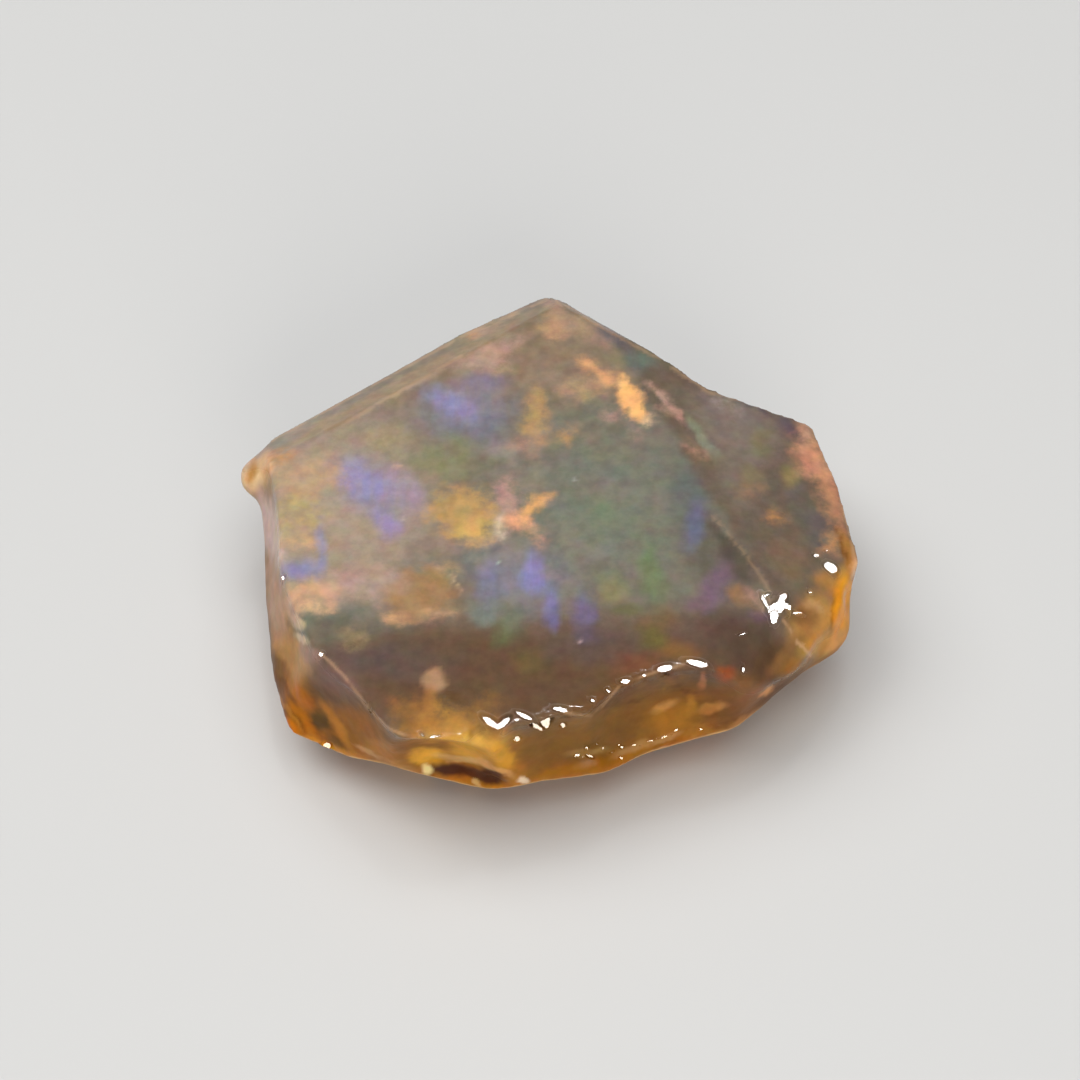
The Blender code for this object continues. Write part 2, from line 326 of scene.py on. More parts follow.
def halfway(middle, lamp):
    """The way that a mirror at this place faces to show the camera a lamp."""
    to_eye = np.array(camera_place()[0]) - middle
    to_lamp = np.array(lamp) - middle
    both = to_eye / np.linalg.norm(to_eye) + to_lamp / np.linalg.norm(to_lamp)
    return both / np.linalg.norm(both)


def flake_reach(points, flake):
    """The part of the way to a flake's outline, the height over its plane, and the way that it faces."""
    middle = np.array(flake[:3])
    facing = halfway(middle, flake.lamp)
    turn = math.radians(flake.turn)
    along = np.array((math.cos(turn), math.sin(turn), 0.0))
    along = along - facing * (along @ facing)
    across = np.cross(facing, along)
    away = points - middle
    height = away @ facing
    reach = np.hypot(away @ along / flake.long, away @ across / flake.wide)
    return np.where(np.abs(height) < FLAKE_DEPTH, reach, FAR_OFF), height, facing


def near_flakes(points):
    chosen = np.zeros(len(points), bool)
    for flake in FLAKES.values():
        away = np.linalg.norm(points - flake[:3], axis=1)
        chosen |= away < flake.long + FLAKE_MARGIN
    return chosen


def break_flakes(surface):
    """Presses the flakes' flat scars into the surface."""
    for flake in FLAKES.values():
        reach, height, facing = flake_reach(surface.points, flake)
        share = 1 - smoothstep(1.0, FLAKE_FADE, reach)
        surface.points = surface.points - facing * (height * share)[:, None]


def near(points, middle, reach):
    """How near the points are to a place: 1 there, and 0 out of its reach."""
    return 1 - smoothstep(0.6, 1.0, np.linalg.norm((points - middle) / reach, axis=1))


def soften(surface):
    """Rounds the walls more than the upper edges, which stay crisp, and fills the hollow behind the nub."""
    at_nub = near(surface.points, NUB_ROOT, NUB_REACH)
    for _ in range(FILL_ROUNDS):
        outwards = -surface.bulge(1)
        surface.points = surface.points + surface.normals() * (np.maximum(outwards, 0) * at_nub)[:, None]
    crisp = surface.blurred(surface.points, CRISP_ROUNDS)
    worn = surface.blurred(crisp, WORN_ROUNDS)
    worn = worn + SWELLING * (worn - surface.blurred(worn, WORN_ROUNDS))
    share = ROUNDING * smoothstep(*ROUNDING_DEPTHS, depth_below(crisp))[:, None]
    surface.points = crisp * (1 - share) + worn * share


def weather(surface):
    """Wears and chips the edges, and leaves the low relief of a glassy break on each face."""
    facing = surface.normals()
    edge = smoothstep(0.02, 0.1, surface.bulge(16))
    points = surface.points
    wall = smoothstep(0.1, 0.5, depth_below(points))
    nicked = near(points, NICKS, NICKS_REACH)
    chips = np.maximum(lumps(points, size=0.45, octaves=3, seed=1) - 0.05, 0)
    depth = edge * chips * (CHIP_DEPTH + NICK_DEPTH * nicked)
    depth = depth + wall * WALL_RELIEF * lumps(points, size=0.6, octaves=3, seed=2)
    depth = depth + BREAK_RELIEF * lumps(points, size=2.4, octaves=1, seed=3) * (1 - edge)
    off_base = smoothstep(*OFF_BASE, points[:, 2])
    surface.points = points - facing * (depth * off_base)[:, None]


def settle(surface, box):
    """Keeps the stone inside the CAD solid's box, and its underside flat."""
    low, high = (np.array(corner) / MM for corner in box)
    height = surface.points[:, 2]
    surface.points[:, 2] = np.where(height < BASE_HEIGHT, 0.0, height)
    surface.points = np.clip(surface.points, low, high)


def thin_out(mesh):
    """Leaves fewer and larger faces on the flat underside."""
    bm = bmesh.new()
    bm.from_mesh(mesh)
    flat = {vert for vert in bm.verts if vert.co.z == 0.0}
    inner = [vert for vert in bm.verts if all(edge.other_vert(vert) in flat for edge in vert.link_edges)]
    bmesh.ops.unsubdivide(bm, verts=inner, iterations=4)
    bm.to_mesh(mesh)
    bm.free()


# Colours

def linear(colour):
    """A screen colour as light."""
    values = np.array(colour) / 255
    return np.where(values <= 0.04045, values / 12.92, ((values + 0.055) / 1.055) ** 2.4)


# A patch of colour under the top, measured like a flake: its middle, reach and turn, its colour, its
# strength, and how soft its rim is.
Patch = namedtuple("Patch", "x y long wide turn colour strength soft", defaults=(0.8, 1.0))

# The same, placed where the photo shows it: its middle across and down, and its reach, in photo pixels.
Mark = namedtuple("Mark", "x y long wide turn colour strength soft", defaults=(0.9, 0.8))

# The stone under its top and under the right facet, and the milky veil at its left.
BODY = (126, 113, 98)
FACET = (112, 97, 82)
VEIL = (178, 154, 134)

# Broad tones under the top, and under the right facet.
TONES = {
    "back_khaki": Patch(-0.5, 5.8, 4.5, 2.2, 0, (146, 124, 100), 0.7),
    "left_beige": Patch(-6.6, -0.2, 3.4, 4.6, 0, (168, 150, 130), 0.9),
    "grey_green": Patch(2.0, -0.4, 3.8, 3.8, 0, (121, 122, 108), 0.9),
    "slate_gap": Patch(1.5, 3.1, 1.5, 0.9, 0, (116, 114, 100), 0.7),
    "slate_by_ridge": Patch(4.4, 0.4, 0.7, 1.5, 0, (98, 102, 102), 0.6),
    "behind_streak": Patch(3.25, 4.5, 0.3, 0.6, 0, (88, 85, 88), 0.7),
    "slate_left_front": Patch(-6.0, -4.9, 2.2, 0.7, 0, (116, 120, 108), 0.85, 0.6),
    "slate_centre": Patch(-1.6, -2.5, 1.2, 0.8, 0, (118, 120, 120), 0.6),
    "front_brown": Patch(0.0, -6.9, 9.5, 2.4, 0, (104, 79, 58), 1.0, 0.8),
    "front_dark": Patch(-4.8, -6.3, 2.4, 0.7, 0, (98, 84, 80), 0.6),
    "front_purple": Patch(1.3, -5.6, 1.6, 0.8, 0, (100, 86, 84), 0.5),
    "front_right_mauve": Patch(4.6, -5.2, 1.0, 1.0, 0, (98, 72, 64), 0.6),
    "red_brown_ridge": Patch(2.6, -6.5, 0.9, 0.4, 20, (128, 80, 56), 0.6),
    "amber_ridge": Patch(3.9, -5.9, 0.5, 0.35, 0, (148, 102, 55), 0.7),
    "amber_above_ridge": Patch(3.3, -4.8, 0.5, 0.5, 0, (125, 98, 65), 0.7),
    "bevel": Patch(-4.4, 5.0, 5.4, 0.5, 37, (158, 134, 103), 0.85, 0.5),
    # A painted highlight along the bevel's crease.
    "bevel_crease_highlight": Patch(-4.6, 4.3, 1.7, 0.12, 37, (180, 158, 138), 0.6),
    "lavender_mid": Patch(-1.3, 1.9, 0.5, 0.4, 0, (158, 146, 140), 0.6),
    "beige_by_fish": Patch(-0.25, 0.5, 0.4, 0.4, 0, (152, 138, 116), 0.6),
    "slate_by_facet": Mark(716, 560, 54, 26, -55, (104, 96, 86), 0.8),
    "facet_shade": Mark(732, 556, 46, 8, -52, (82, 74, 64), 0.75),
    "dark_by_star": Mark(748, 640, 44, 28, -30, (86, 66, 54), 0.8),
}

FACET_TONES = {
    "facet_mauve": Mark(735, 425, 52, 30, -30, (134, 119, 110), 0.85),
    "facet_mauve_low": Mark(738, 470, 40, 24, 90, (132, 116, 104), 0.7),
    "facet_back_dark": Mark(748, 403, 26, 6, -22, (78, 74, 84), 0.85),
    "facet_slate_between": Mark(776, 480, 16, 8, 90, (104, 96, 86), 0.4),
    "facet_slate_mid": Mark(798, 502, 20, 13, 90, (104, 97, 88), 0.7),
    "facet_slate_low": Mark(815, 530, 22, 14, -55, (104, 95, 90), 0.8),
    "facet_tan_low": Mark(790, 562, 24, 18, 90, (136, 110, 84), 0.6),
    "facet_dark_line": Mark(740, 556, 44, 5, -45, (92, 82, 72), 0.65, 1.0),
}

# The play of colour.
FLASHES = {
    "violet_back_halo": Patch(-2.45, 3.4, 1.5, 1.4, 20, (128, 128, 145)),
    "purple_back": Patch(-2.0, 4.75, 0.8, 0.5, 0, (136, 120, 142)),
    "lavender_back": Patch(-3.1, 4.2, 0.6, 0.45, 0, (148, 150, 160), 0.6),
    "violet_back": Patch(-2.9, 3.85, 1.0, 0.42, -38, (148, 142, 184), 0.85),
    "violet_left_halo": Patch(-5.3, 0.3, 1.6, 0.9, -40, (146, 140, 168), 0.7),
    "violet_left": Patch(-5.5, 0.6, 1.0, 0.6, -38, (150, 142, 186)),
    "violet_left_low": Patch(-4.75, -1.05, 0.65, 0.42, -50, (152, 138, 186)),
    "pink_left": Patch(-4.2, 0.4, 0.9, 0.45, -60, (172, 148, 172), 0.6),
    "blue_left": Patch(-7.35, -2.85, 0.5, 0.45, 0, (134, 134, 180)),
    "blue_left_streak": Patch(-6.75, -2.0, 0.16, 1.2, 0, (146, 144, 170)),
    "blue_left_second": Patch(-6.68, -2.9, 0.25, 0.5, 0, (138, 136, 172), 0.5),
    "violet_middle": Patch(-0.35, -3.0, 0.35, 0.7, 0, (160, 144, 232), 0.95),
    "violet_middle_low": Patch(-0.45, -3.6, 0.2, 0.35, 0, (136, 120, 190), 0.5),
    "violet_middle_right": Patch(0.15, -3.95, 0.28, 0.6, 0, (134, 122, 186)),
    "violet_right_low": Patch(0.2, -4.7, 0.25, 0.5, 0, (114, 110, 152), 0.7),
    "blue_middle_left": Patch(-1.6, -3.4, 0.45, 0.9, 0, (130, 128, 162), 0.7),
    "violet_right": Patch(1.15, -4.4, 0.35, 0.6, 0, (118, 106, 148), 0.75),
    "violet_far_low": Patch(1.2, -5.3, 0.3, 0.4, 0, (104, 90, 112), 0.6),
    "green_back_left": Patch(-3.0, 1.5, 1.1, 1.0, 0, (134, 134, 96)),
    "khaki_left": Patch(-4.8, 2.4, 0.6, 0.6, 0, (168, 148, 110), 0.6),
    "green_stripe": Patch(3.2, -3.0, 0.35, 1.2, 5, (112, 128, 88), 0.85),
    "green_wide": Patch(1.8, -0.9, 1.1, 0.9, 0, (120, 130, 108), 0.7),
    "green_low_left": Patch(-1.0, -4.7, 0.55, 0.75, 0, (118, 128, 94), 0.75),
    "green_lower": Patch(-1.3, -5.5, 0.35, 0.4, 0, (104, 108, 74), 0.7),
    "teal_low_left": Patch(-1.85, -4.4, 0.5, 0.5, 0, (126, 134, 124)),
    "olive_middle": Patch(2.0, -3.6, 0.45, 0.5, 0, (142, 132, 96)),
    "green_mid_low": Patch(2.5, -4.4, 0.5, 0.3, 0, (114, 112, 72), 0.7),
    "teal_streak": Patch(1.75, -2.1, 0.3, 0.4, 0, (130, 140, 125), 0.6),
    "olive_front": Patch(3.1, -5.4, 0.4, 0.45, 0, (112, 102, 56)),
    "olive_front_left": Patch(-0.5, -6.2, 0.4, 0.4, 0, (112, 97, 56), 0.6),
    "slate_round_violet": Patch(-0.6, -3.3, 1.4, 1.3, 0, (130, 130, 148), 0.55),
    "tail_of_violet": Patch(0.25, -4.7, 0.2, 0.5, 0, (110, 106, 138), 0.6),
    "speck_green": Patch(-1.35, -2.6, 0.09, 0.1, 0, (176, 190, 176)),
    "speck_centre": Patch(0.95, 0.6, 0.09, 0.12, 0, (170, 170, 156), 0.7),
    "speck_left": Patch(-4.2, -0.85, 0.1, 0.1, 0, (190, 178, 168), 0.6),
    "speck_pink": Patch(-4.5, 1.2, 0.12, 0.12, 0, (206, 168, 140)),
    "speck_low": Patch(1.0, -5.55, 0.08, 0.1, 0, (200, 168, 168)),
    "facet_purple": Mark(787, 425, 18, 9, -60, (96, 84, 96), 0.7, 1.0),
    "facet_olive": Mark(765, 440, 15, 13, 90, (128, 118, 82), 0.8, 1.0),
    "facet_olive_right": Mark(792, 477, 14, 12, 90, (150, 130, 86), 0.9, 1.0),
    "facet_olive_left": Mark(750, 476, 13, 11, 90, (134, 120, 88), 0.7, 1.0),
    "green_streak": Mark(703, 440, 25, 5, -58, (150, 158, 128), 0.85, 1.0),
    "blue_right": Mark(693, 526, 26, 12, 82, (108, 110, 134), 0.8),
    "ring_purple": Mark(717, 583, 25, 15, 62, (126, 98, 120), 0.8, 1.0),
    "ring_low": Mark(705, 606, 16, 10, 0, (124, 98, 116), 0.6),
    "ring_orange": Mark(740, 595, 14, 11, -30, (152, 114, 78)),
    "ring_magenta": Mark(759, 613, 11, 8, 0, (108, 84, 98), 0.7, 1.0),
    "teal_back": Mark(640, 360, 16, 12, -30, (106, 120, 110), 0.8, 1.0),
    "slate_back": Mark(612, 338, 20, 8, -30, (98, 98, 108), 0.7),
    "olive_bevel": Mark(458, 338, 18, 10, 30, (134, 124, 90), 0.7),
    "blob_dark": Mark(452, 696, 14, 6, -20, (104, 74, 40), 0.6),
}

# The milky clouds, which cover what is behind them.
CLOUDS = {
    "streak_top": Patch(1.75, 5.15, 0.95, 0.34, -50, (212, 158, 110), 0.9, 0.9),
    "streak": Patch(2.75, 4.0, 1.05, 0.36, -68, (238, 178, 116), 1.0, 0.45),
    "streak_tip": Patch(3.15, 3.2, 0.35, 0.25, -60, (228, 184, 142), 1.0, 0.5),
    "streak_glow_left": Patch(1.2, 4.5, 0.8, 0.5, 10, (176, 144, 108), 0.7),
    "streak_pink": Patch(2.1, 3.3, 0.3, 0.2, 0, (178, 142, 126), 0.65),
    "pink_low": Patch(2.7, 2.75, 0.2, 0.2, 0, (172, 138, 124), 0.6),
    "small_orange": Patch(0.62, 2.55, 0.25, 0.3, 0, (196, 148, 96), 0.85),
    "amber_band": Patch(-0.3, 3.3, 1.35, 0.32, 88, (180, 144, 98), 0.85),
    "amber_foot": Patch(-0.65, 2.1, 0.5, 0.25, 20, (168, 135, 108), 0.65),
    "apex_peach": Patch(0.34, 7.25, 0.4, 0.7, 0, (186, 146, 112)),
    "rose_back": Patch(-1.8, 5.75, 0.8, 0.6, 10, (182, 146, 130), 0.85),
    "rose_line": Patch(-1.2, 6.3, 0.6, 0.2, 35, (190, 150, 132), 0.65),
    "orange_dot_bevel": Patch(-2.25, 7.4, 0.25, 0.15, 0, (196, 146, 98)),
    "yellow_mid": Patch(-2.5, -0.5, 1.0, 0.95, 0, (186, 148, 92), 0.85),
    "yellow_core": Patch(-2.15, -1.2, 0.65, 0.5, 20, (208, 168, 98), 0.95),
    "yellow_peach_low": Patch(-2.1, -1.8, 0.4, 0.2, 0, (202, 160, 112), 0.9),
    "yellow_left_end": Patch(-3.15, -0.8, 0.4, 0.35, 0, (194, 144, 92), 0.75),
    "pink_between": Patch(-1.15, 0.1, 0.35, 0.7, 0, (182, 142, 132), 0.75),
    "pale_streak": Patch(-1.28, -1.2, 0.12, 0.5, 0, (206, 180, 158)),
    "fish_body": Patch(-0.3, -0.4, 0.72, 0.25, 45, (222, 166, 106), 0.95, 0.8),
    "fish_heart": Patch(-0.8, -0.85, 0.34, 0.28, 0, (232, 166, 122), 1.0, 0.9),
    "fish_tail": Patch(-0.3, -1.4, 0.5, 0.2, -38, (200, 152, 122)),
    "brown_cloud": Patch(-3.7, -3.75, 1.15, 0.95, 0, (156, 122, 84), 0.9, 0.7),
    "brown_fringe": Patch(-3.35, -4.45, 0.6, 0.25, 0, (196, 150, 118), 0.85),
    "peach_fringe_left": Patch(-4.4, -4.55, 0.35, 0.25, 0, (202, 156, 118), 0.9),
    "curl": Patch(-3.0, -2.8, 0.35, 0.2, 10, (188, 150, 116)),
    "curl_tail": Patch(-2.65, -3.35, 0.45, 0.08, -55, (176, 152, 122), 0.7, 0.5),
    "rose_middle": Patch(-5.4, -3.4, 1.5, 0.75, 0, (172, 144, 130)),
    "peach_left": Patch(-7.0, -3.7, 1.3, 0.5, 0, (204, 162, 126), 0.9),
    "peach_left_low": Patch(-6.7, -4.2, 0.5, 0.2, 0, (212, 170, 130), 0.9),
    "peach_above_blue": Patch(-7.4, -1.85, 0.55, 0.25, 0, (200, 158, 122)),
    "yellow_left": Patch(-7.4, -0.6, 0.8, 0.9, 0, (186, 160, 108), 0.6),
    "peach_left_top": Patch(-7.2, 0.8, 1.3, 0.9, 0, (184, 152, 118), 0.65),
    "orange_corner": Patch(-8.2, 1.7, 0.5, 0.4, 0, (196, 142, 92)),
    "small_ochre": Patch(-5.6, -5.5, 0.35, 0.3, 0, (152, 130, 98), 0.75),
    "coral": Mark(815, 460, 26, 14, -54, (206, 144, 112), 0.9, 1.0),
    "coral_low": Mark(834, 500, 26, 9, -66, (196, 136, 102), 0.85, 1.0),
    "coral_top": Mark(807, 434, 13, 11, 0, (190, 146, 118)),
    "coral_left": Mark(797, 456, 8, 8, 0, (170, 122, 98), 0.7),
    "coral_foot": Mark(832, 543, 12, 7, 80, (192, 138, 94)),
    "facet_orange": Mark(777, 517, 14, 5, 0, (174, 126, 80)),
    "facet_orange_back": Mark(750, 487, 9, 5, 0, (146, 116, 86), 0.7),
    "facet_flecks": Mark(727, 405, 12, 4, -20, (164, 150, 138), 0.8),
    "ridge_pink": Mark(692, 450, 11, 7, -40, (174, 130, 110), 0.85),
    "pink_fringe": Mark(668, 405, 26, 5, -50, (182, 144, 128), 0.85, 0.6),
    "ring_pale": Mark(750, 600, 11, 4, -60, (172, 132, 112), 0.7),
    "gold_lobe_left": Mark(410, 716, 18, 20, 0, (146, 102, 54), 0.8, 1.2),
    "gold_lobe": Mark(442, 722, 34, 15, 0, (178, 128, 58), 0.9, 1.2),
    "gold_lobe_right": Mark(480, 714, 20, 15, 20, (144, 102, 54), 0.8, 1.2),
    "gold_lobe_bright": Mark(460, 727, 16, 9, 10, (190, 138, 66), 0.85, 1.0),
    "gold_by_ridge": Mark(655, 690, 26, 10, 20, (150, 106, 54), 0.6),
    "apex_beige": Mark(568, 318, 30, 12, -35, (166, 138, 114), 0.7),
    "apex_beige_low": Mark(596, 338, 16, 9, -35, (152, 126, 110), 0.6),
    "bevel_beige": Mark(500, 318, 34, 9, 25, (166, 140, 112), 0.6),
}

# The painted edge highlight's colour, and painted highlights drawn as pale hairlines along the ridges and
# outlines, in the photo's pixels, with the strength of each.
EDGE_HIGHLIGHT = (222, 178, 136)
HIGHLIGHT_HAIRLINES = {
    "facet": ([(712, 516), (745, 553), (770, 591)], 0.35),
    "shoulder": ([(783, 620), (798, 643), (816, 660)], 0.9),
    "bevel_crease": ([(344, 424), (462, 355)], 0.4),
    "front_left": ([(321, 653), (347, 680), (370, 711), (393, 731), (415, 738)], 0.55),
    "front_start": ([(440, 737), (466, 729)], 0.5),
    "front_middle": ([(565, 713), (592, 716), (606, 702), (620, 685)], 0.6),
    "front_right": ([(630, 682), (656, 671)], 0.5),
    "front_end": ([(672, 668), (684, 664)], 0.5),
    "outline_back_left": ([(272, 440), (461, 337), (547, 300)], 0.5),
    "outline_back_right": ([(553, 300), (667, 363), (707, 391), (751, 403), (812, 426)], 0.5),
    "outline_right": ([(813, 427), (837, 484), (851, 537), (857, 565)], 0.7),
}

# The walls' colour at their upper edges, halfway down and at the foot, and the heights where it changes.
WALL_HEAD = (128, 94, 56)
WALL = (156, 108, 44)
# The foot's amber is partly the stone's own and partly a painted glow of light coming through the thin
# foot.
WALL_FOOT_AND_GLOW = (212, 132, 16)
HEAD_HEIGHTS = (3.2, 4.4)
FOOT_HEIGHTS = (1.2, 2.6)

# The dark streaks and the light billows in the walls, and their strength.
WALL_DARK = (104, 62, 16)
WALL_LIGHT = (206, 152, 70)
STREAKS = 0.6

# The painted rim light where the front walls turn under: how far down they face there, and where it starts
# and ends.
PAINTED_RIM_LIGHT = (232, 186, 120)
PAINTED_RIM_LIGHT_STRENGTH = 0.85
RIM_TURN = (0.2, 0.36)
RIM_START = (0.8, 1.1)
RIM_END = (1.6, 2.2)

# How far the walls face the camera where the painted rim light ends, and where their marks begin to show.
RIM_FACING = (0.3, 0.5)
MARK_FACING = (-0.3, 0.1)

# The walls' red, green and blue are deepened by this, to make up for the pale floor that they mirror.
DEEPER = (0.78, 0.66, 0.34)

# What the photo shows on the walls.
WALL_MARKS = {
    "left_peach": Mark(291, 655, 32, 16, 115, (216, 168, 124)),
    "left_olive_edge": Mark(268, 655, 46, 6, 96, (108, 78, 36), 0.85),
    "left_olive_wide": Mark(277, 670, 24, 10, 115, (128, 88, 34), 0.8),
    "left_violet": Mark(310, 655, 13, 8, 140, (168, 134, 122), 0.7),
    "purple_brown": Mark(332, 688, 26, 22, -45, (126, 96, 86), 0.95),
    "brown_below": Mark(362, 728, 28, 15, -40, (172, 116, 56), 0.95),
    "peach_foot": Mark(386, 754, 26, 12, -25, (196, 140, 80)),
    "corner_olive": Mark(278, 692, 24, 9, -65, (122, 78, 18), 0.85),
    "corner_orange": Mark(300, 704, 30, 11, -65, (208, 130, 14), 0.95),
    "corner_streak_high": Mark(287, 690, 22, 2.8, -58, (128, 78, 14), 0.7),
    "corner_streak_low": Mark(297, 720, 16, 3.2, -50, (120, 74, 14), 0.7),
    "corner_tan_line": Mark(290, 712, 24, 2.4, -55, (218, 154, 64), 0.7, 0.6),
    "hollow_crest": Mark(336, 724, 28, 6, -58, (208, 148, 68), 0.85, 0.7),
    "hollow": Mark(320, 721, 15, 8, -38, (104, 76, 18), 1.0),
    "hollow_foot": Mark(337, 742, 12, 4.5, -38, (112, 80, 18), 0.8),
    "gold_base": Mark(470, 746, 56, 20, 0, (214, 158, 66)),
    "brown_nook": Mark(404, 752, 10, 9, 0, (150, 104, 48), 0.7),
    "dark_amber_line": Mark(436, 746, 30, 4, -4, (160, 104, 14), 0.85),
    "gold_billow": Mark(478, 750, 30, 13, -15, (250, 196, 90), 0.85),
    "olive_wall": Mark(590, 737, 72, 25, 8, (146, 108, 50)),
    "olive_left_end": Mark(535, 755, 16, 20, 0, (150, 110, 52), 0.9, 0.6),
    "amber_foot_line": Mark(575, 769, 46, 6, 12, (184, 126, 10), 0.95, 0.7),
    "amber_foot_right": Mark(642, 751, 38, 5, 28, (184, 126, 12), 0.95, 0.7),
    "pit_foot": Mark(470, 785, 48, 6, -3, (214, 146, 20), 0.95, 0.7),
    # The next three are painted shade inside the pits.
    "pit_join_shade": Mark(474, 774, 13, 5, -18, (112, 58, 0), 0.95, 0.5),
    "pit_left": Mark(450, 769, 21, 7.5, -6, (92, 46, 0), 1.0, 0.6),
    "pit_right": Mark(490, 777, 14, 8, -10, (92, 46, 0), 1.0, 0.6),
    "pale_left_foot": Mark(403, 770, 24, 5, -12, (208, 160, 102), 0.85),
    "gold_right_end": Mark(517, 780, 9, 5, 0, (216, 152, 62), 0.8),
    "golden_patch": Mark(672, 718, 24, 16, 10, (200, 142, 46), 0.85, 1.0),
    "golden_leg": Mark(691, 706, 12, 6, 80, (214, 158, 66), 0.65),
    "peach_brown": Mark(738, 702, 38, 24, 30, (132, 86, 42)),
    "peach_curl": Mark(712, 708, 16, 5, 12, (216, 156, 100), 0.75, 0.7),
    "peach_curl_low": Mark(742, 721, 14, 4, 35, (216, 156, 104), 0.7, 0.7),
    "peach_stem": Mark(702, 682, 9, 4, 85, (180, 122, 86), 0.7),
    "red_orange": Mark(726, 674, 10, 8, 0, (160, 82, 42), 0.95, 1.0),
    "brown_by_pocket": Mark(772, 662, 26, 18, 50, (92, 68, 46)),
    "amber_pocket": Mark(794, 667, 19, 13, 40, (150, 104, 42), 0.85, 1.0),
    "pocket_dark": Mark(800, 673, 8, 4, 40, (112, 72, 20), 0.8),
    "nose_tan": Mark(815, 624, 34, 27, 60, (184, 134, 70), 0.95),
    "nose_gold": Mark(820, 644, 20, 12, 20, (196, 140, 60)),
    "nose_pale": Mark(812, 606, 12, 5, -20, (196, 152, 106), 0.7),
    "nose_dark_line": Mark(834, 600, 34, 3, 84, (122, 80, 24), 0.85, 0.6),
    "edge_orange": Mark(848, 550, 26, 6, -72, (176, 116, 54)),
    "edge_brown_line": Mark(843, 545, 22, 2.5, -72, (112, 68, 24), 0.8, 0.6),
    "round_blob": Mark(434, 680, 13, 13, 0, (176, 138, 104), 0.95, 0.5),
    "blob_stem": Mark(429, 699, 13, 7, 80, (170, 118, 64), 0.7),
    "coral_dark": Mark(808, 441, 9, 2.5, 60, (122, 94, 76), 0.6),
    "coral_dark_low": Mark(828, 497, 8, 2, -60, (128, 86, 66), 0.6),
    "crease_brown": Mark(786, 655, 30, 7, 48, (140, 98, 58), 0.8, 1.0),
    "crease_amber": Mark(832, 583, 20, 10, -20, (184, 130, 66), 0.85, 1.0),
    "brown_under_ridge": Mark(610, 692, 42, 12, 25, (112, 78, 44), 0.8, 1.0),
    "nose_brown": Mark(806, 618, 15, 10, 0, (138, 96, 58), 0.75),
    "corner_brown": Mark(778, 690, 24, 8, 42, (98, 62, 24), 0.85),
}

# The brightest and palest of the walls' marks, which aren't deepened. Several are painted light: glow,
# glints and a highlight.
BRIGHT_MARKS = {
    # A painted highlight on the left wall strip.
    "left_cream_highlight": Mark(268, 525, 44, 11, 105, (224, 190, 178), 0.9, 0.7),
    "left_tan": Mark(276, 600, 42, 10, 98, (198, 154, 120), 0.85),
    "left_crumbs_high": Mark(297, 622, 9, 5, 120, (212, 184, 150), 0.9, 0.6),
    "left_crumbs_low": Mark(301, 638, 8, 4, 140, (212, 184, 152), 0.9, 0.6),
    "nub_neck": Mark(264, 468, 17, 8, 80, (240, 194, 146)),
    "nub_ball": Mark(248, 478, 22, 14, 80, (222, 186, 144), 0.95, 0.5),
    "nub_core": Mark(252, 471, 13, 5, 80, (180, 122, 50), 0.9, 0.9),
    # Painted glow of light coming through the thin foot, at the corner and along the foot.
    "corner_glow": Mark(289, 729, 12, 7, -45, (206, 116, 6), 0.95),
    "foot_glow": Mark(312, 743, 16, 6, -20, (222, 144, 14)),
    "foot_gold": Mark(338, 753, 34, 6, -22, (214, 146, 20)),
    "crumb_line": Mark(368, 752, 15, 2.5, -30, (204, 158, 108), 0.65),
    "gold_pool": Mark(427, 757, 19, 9, 0, (240, 174, 48), 0.95),
    "bright_gold": Mark(504, 757, 15, 11, -60, (224, 158, 40)),
    "pit_fringe": Mark(458, 758, 24, 3.5, -6, (226, 178, 112), 0.8, 0.7),
    "pit_fringe_right": Mark(494, 768, 22, 3.5, -22, (224, 172, 104), 0.8, 0.7),
    # The next two are painted glints at the foot.
    "yellow_glint": Mark(427, 770, 6, 5, 0, (255, 226, 150), 1.0, 0.6),
    "foot_white": Mark(524, 780, 6, 3.5, 0, (252, 222, 190), 0.95, 0.7),
    "foot_white_left": Mark(477, 783, 5, 3, -40, (220, 180, 112), 0.8, 0.6),
    "tip_peach": Mark(766, 692, 9, 4, 30, (216, 148, 92), 0.9, 0.7),
    "amber_strip": Mark(844, 606, 38, 12, 86, (232, 152, 30), 0.95, 0.7),
    "strip_foot": Mark(837, 641, 16, 6, 50, (216, 154, 82), 0.85),
    "edge_tip": Mark(856, 567, 11, 5, 80, (226, 176, 128), 0.85),
    "golden_arch": Mark(664, 706, 13, 4, 25, (214, 158, 80), 0.65, 0.9),
    # Painted glow round the crumbs' glints.
    "crumbs_left_glow": Mark(588, 752, 20, 4, 8, (190, 146, 84), 0.55),
    "crumbs_middle_glow": Mark(632, 749, 20, 4, 24, (192, 150, 88), 0.6),
    "crumbs_right_glow": Mark(664, 738, 18, 3.5, 22, (204, 156, 96), 0.6),
}

# How far a patch's rim reaches inside and outside its outline, in parts of its size, and a cloud's in mm.
PATCH_RIM = (0.7, 0.5)
CLOUD_RIM = (0.55, 0.42)

# The walls' colours set in between these depths under the upper edges, and the facet's across its crease.
WALL_DEPTHS = (0.25, 1.5)
CREASE = (-0.03, 0.05)

# A hairline is this wide in the photo's pixels, and fades out towards the foot between these heights.
HAIRLINE = (0.6, 2.6)
HAIRLINE_HEIGHTS = (2.6, 3.2)

# The walls lose their polish between these depths, and the crushed ground round a flake is duller still.
DULL_DEPTHS = (0.08, 0.5)
CRUSHED = 2.0
CRUSHED_REACH = (1.3, 1.8)

# Keeps divisors above zero.
TINY = 1e-6


def both_ways(points):
    """The points as seen from above, and as the photo shows them."""
    return {Patch: points[:, :2], Mark: in_photo(points) * (1, -1)}


